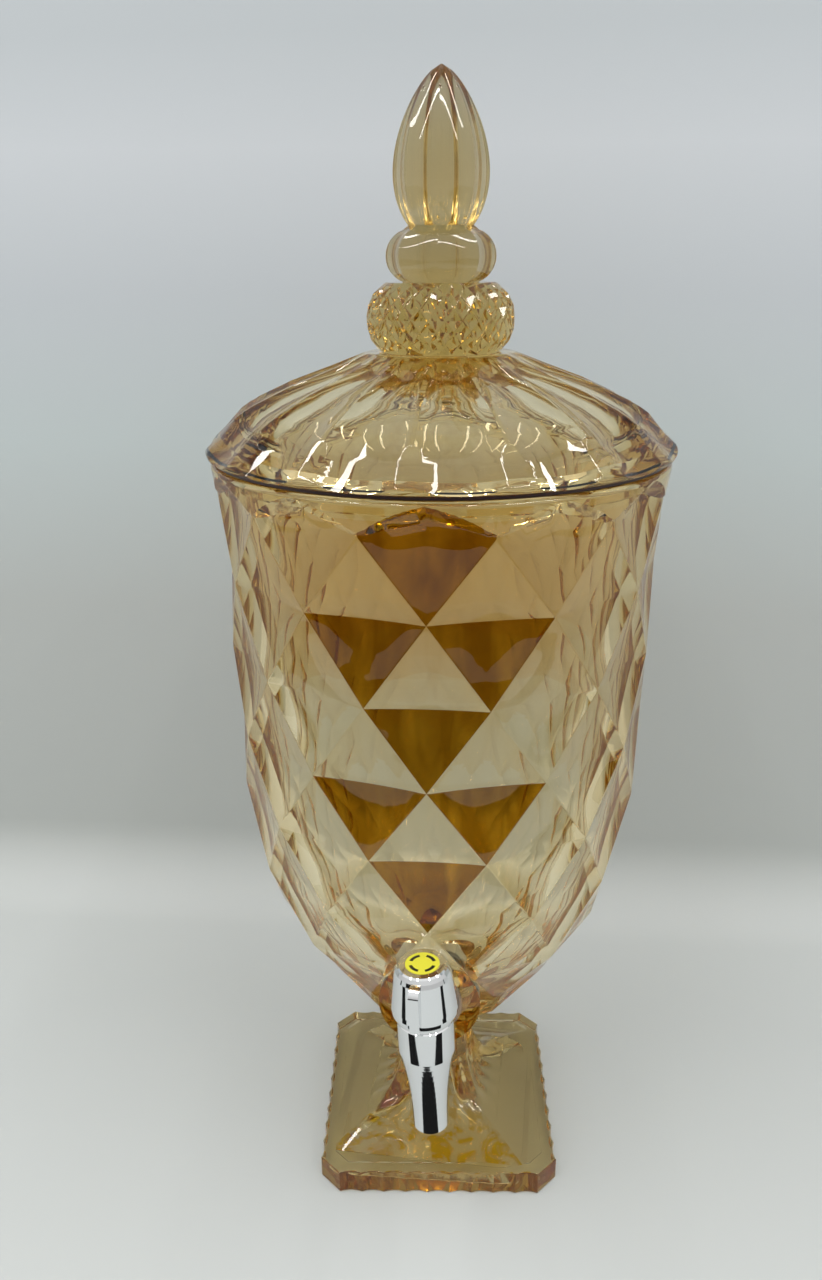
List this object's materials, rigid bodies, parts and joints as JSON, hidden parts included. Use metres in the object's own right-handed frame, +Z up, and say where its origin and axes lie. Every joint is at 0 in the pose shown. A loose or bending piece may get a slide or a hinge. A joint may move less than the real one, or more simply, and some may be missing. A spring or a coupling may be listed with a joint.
{
  "type": "drinks dispenser urn",
  "caption": "Urn-shaped faceted amber glass dispenser on a square foot, with a domed panelled lid, pointed finial and a quarter-turn spout tap low on its front.",
  "frame": {"origin": "middle of the foot's flat underside, on the table", "axes": "+Z up, the tap faces -Y, +X to the right seen from the front"},
  "size_m": [0.2006, 0.2154, 0.5105],
  "materials": {
    "amber_glass": "clear pressed glass with a warm amber tint, polished",
    "seal_rubber": "soft dark red-brown seal",
    "chrome_plate": "bright chrome plating on plastic",
    "brown_plastic": "translucent brown plastic",
    "silicone": "clear-white silicone",
    "white_plastic": "moulded white plastic",
    "black_rubber": "black sealing rubber",
    "screw_steel": "plain steel",
    "label_yellow": "printed yellow label"
  },
  "bodies": {
    "urn": {"bowl": "amber_glass", "foot": "amber_glass", "tap_body": "chrome_plate", "tap_flange": "brown_plastic", "outer_washer": "silicone", "inner_washer": "silicone", "lock_nut": "white_plastic", "plug_clip": "white_plastic"},
    "lid_assembly": {"lid": "amber_glass", "lid_seal": "seal_rubber", "finial": "amber_glass"},
    "valve": {"valve_plug": "white_plastic", "plug_o_rings": "black_rubber", "knob": "chrome_plate", "knob_screw": "screw_steel", "knob_label": "label_yellow"}
  },
  "joints": [
    {"name": "lid_lift", "type": "slide", "parent": "urn", "child": "lid_assembly", "axis": [0, 0, 1], "range_m": [0, 0.08]},
    {"name": "tap_turn", "type": "hinge", "parent": "urn", "child": "valve", "pos_m": [0, -0.098, 0.133], "axis": [-0.0436, 0, 0.999], "range_deg": [-90, 0]}
  ]
}
